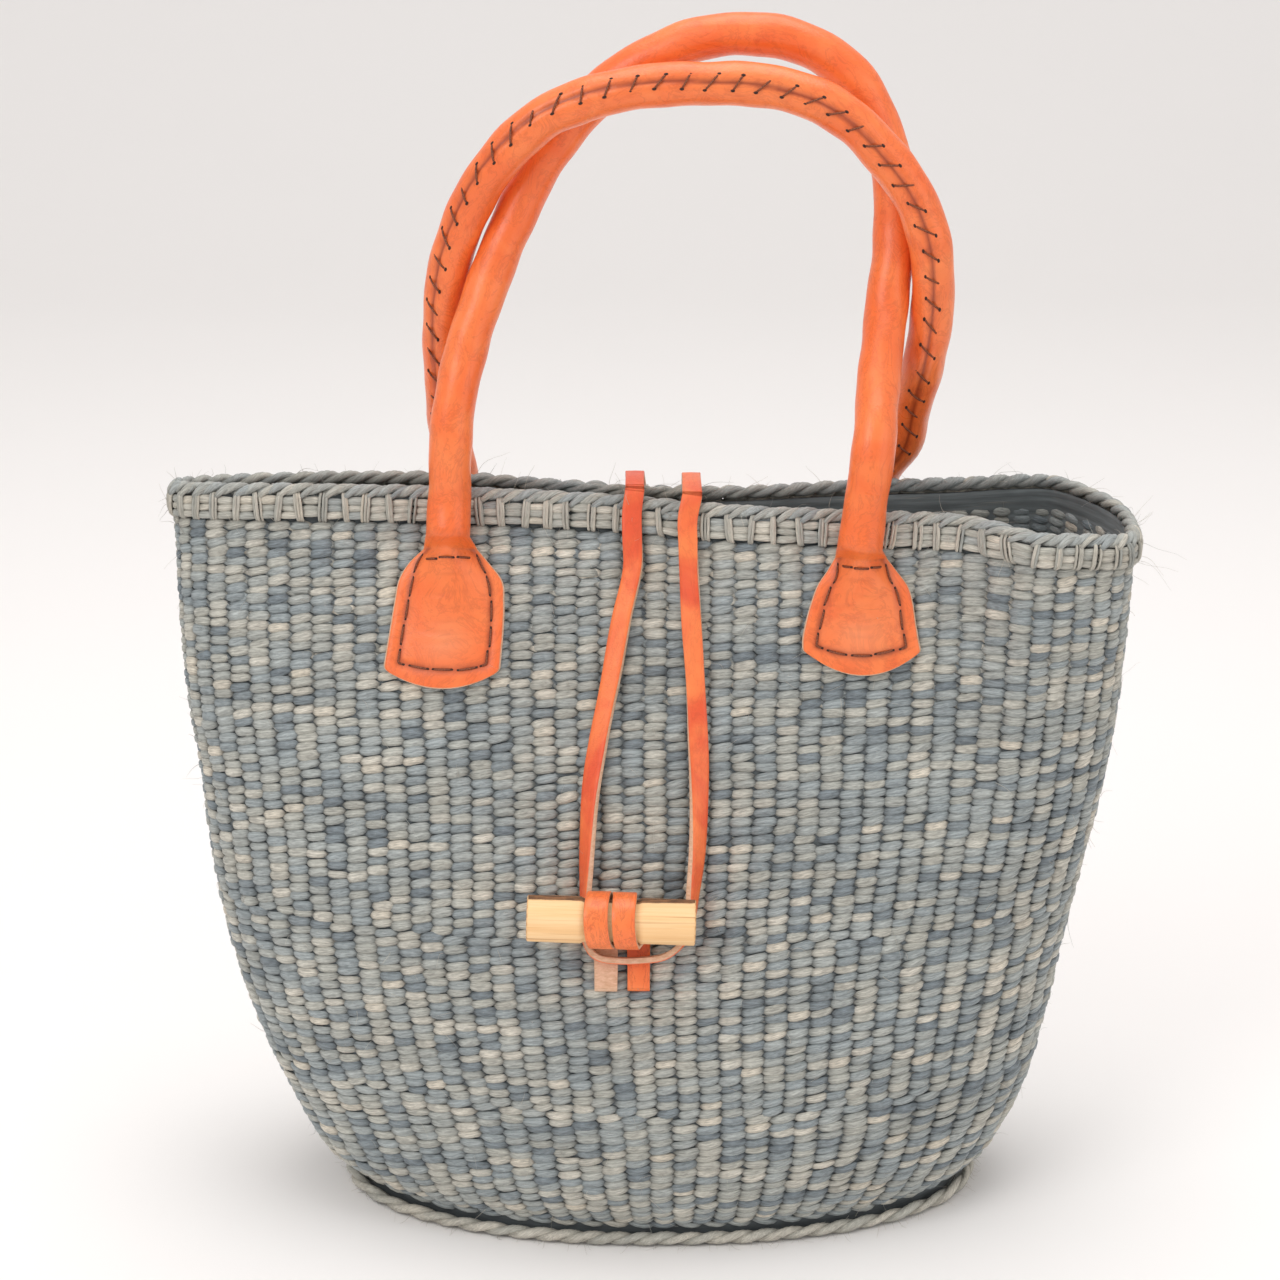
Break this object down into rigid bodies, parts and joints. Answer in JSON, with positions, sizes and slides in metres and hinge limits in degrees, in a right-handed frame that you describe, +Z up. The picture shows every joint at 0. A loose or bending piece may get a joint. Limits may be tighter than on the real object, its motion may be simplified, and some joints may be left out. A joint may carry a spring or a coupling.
{
  "type": "sisal bag",
  "caption": "Twined sisal basket bag with rolled leather handles, a leather closing loop and a wooden toggle, standing on its oval base with its mouth pressed partly shut.",
  "frame": {"origin": "on the floor, at the flat underside of the base, below the middle of the mouth", "axes": "+Z up, +X to the right along the mouth as seen from the front, -Y out of the front wall that carries the toggle"},
  "size_m": [0.3635, 0.1701, 0.4588],
  "materials": {
    "sisal": "matte",
    "leather": "satin",
    "strap_leather": "satin",
    "wood": "bare"
  },
  "bodies": {
    "root": {"basket_body": "sisal", "rim_band": "sisal", "rim_rope": "sisal", "base_ridge": "sisal", "front_handle": "leather", "back_handle": "leather", "toggle": "wood", "toggle_thong": "leather", "closure_loop": "strap_leather"}
  },
  "joints": []
}
